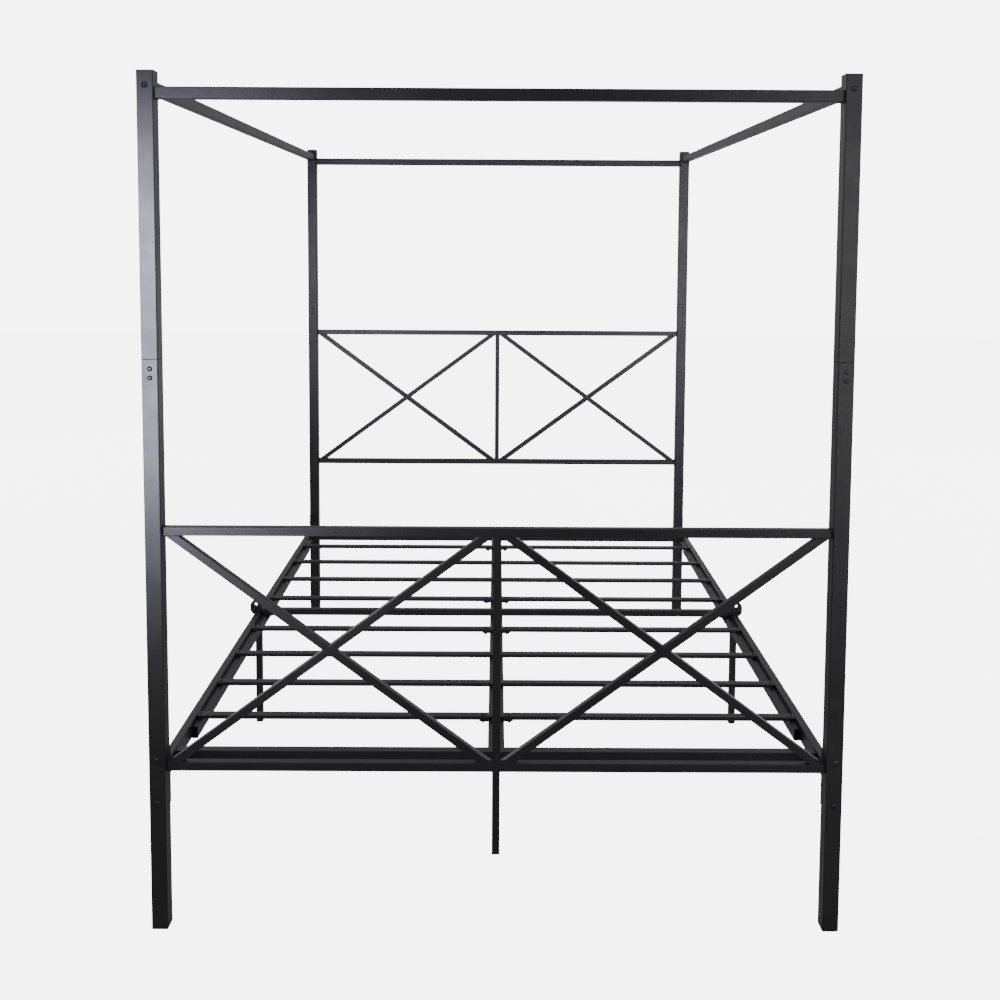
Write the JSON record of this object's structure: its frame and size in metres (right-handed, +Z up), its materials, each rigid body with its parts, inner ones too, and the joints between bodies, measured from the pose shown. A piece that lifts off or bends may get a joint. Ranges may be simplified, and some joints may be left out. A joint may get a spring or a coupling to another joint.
{
  "type": "four poster canopy bed",
  "caption": "Black steel tube four poster canopy bed frame with crossed-bar headboard and footboard and a slatted base.",
  "frame": {"origin": "on the floor at the middle of the bed's plan, between the four posts", "axes": "+Z up, +Y from the foot end towards the headboard, +X to the right seen from the foot end"},
  "size_m": [1.59, 2.1102, 1.928],
  "materials": {
    "black_powder_coat": "satin black powder coat on steel tube",
    "inner_sleeve_steel": "dark phosphated steel",
    "black_plastic": "matt moulded black plastic",
    "black_bolt_steel": "black zinc-plated steel"
  },
  "bodies": {
    "root": {"foot_left_lower_post": "black_powder_coat", "foot_right_lower_post": "black_powder_coat", "head_left_lower_post": "black_powder_coat", "head_right_lower_post": "black_powder_coat", "foot_left_upper_post": "black_powder_coat", "foot_right_upper_post": "black_powder_coat", "head_left_upper_post": "black_powder_coat", "head_right_upper_post": "black_powder_coat", "post_spigots": "inner_sleeve_steel", "post_caps": "black_powder_coat", "post_glides": "black_plastic", "canopy_foot_rail": "black_powder_coat", "canopy_head_rail": "black_powder_coat", "canopy_foot_left_rail": "black_powder_coat", "canopy_foot_right_rail": "black_powder_coat", "canopy_head_left_rail": "black_powder_coat", "canopy_head_right_rail": "black_powder_coat", "canopy_joiners": "inner_sleeve_steel", "canopy_plugs": "black_plastic", "panel_plugs": "black_plastic", "headboard_top_rail": "black_powder_coat", "headboard_bottom_rail": "black_powder_coat", "headboard_centre_bar": "black_powder_coat", "headboard_long_braces": "black_powder_coat", "headboard_short_braces": "black_powder_coat", "footboard_top_rail": "black_powder_coat", "footboard_bottom_rail": "black_powder_coat", "footboard_centre_bar": "black_powder_coat", "footboard_long_braces": "black_powder_coat", "footboard_short_braces": "black_powder_coat", "foot_left_side_rail": "black_powder_coat", "foot_right_side_rail": "black_powder_coat", "head_left_side_rail": "black_powder_coat", "head_right_side_rail": "black_powder_coat", "slat_ledges": "black_powder_coat", "post_plates": "black_powder_coat", "joint_plates": "black_powder_coat", "foot_cross_rail": "black_powder_coat", "head_cross_rail": "black_powder_coat", "middle_cross_bar": "black_powder_coat", "foot_centre_rail": "black_powder_coat", "head_centre_rail": "black_powder_coat", "slat_lugs": "black_powder_coat", "slat_1": "black_powder_coat", "slat_2": "black_powder_coat", "slat_3": "black_powder_coat", "slat_4": "black_powder_coat", "slat_5": "black_powder_coat", "slat_6": "black_powder_coat", "slat_7": "black_powder_coat", "slat_8": "black_powder_coat", "left_side_leg": "black_powder_coat", "right_side_leg": "black_powder_coat", "centre_legs": "black_powder_coat", "leg_feet": "black_plastic", "rail_bolts": "black_bolt_steel", "post_screws": "black_bolt_steel", "side_rail_bolts": "black_bolt_steel", "slat_bolts": "black_bolt_steel", "deck_screws": "black_bolt_steel"}
  },
  "joints": []
}
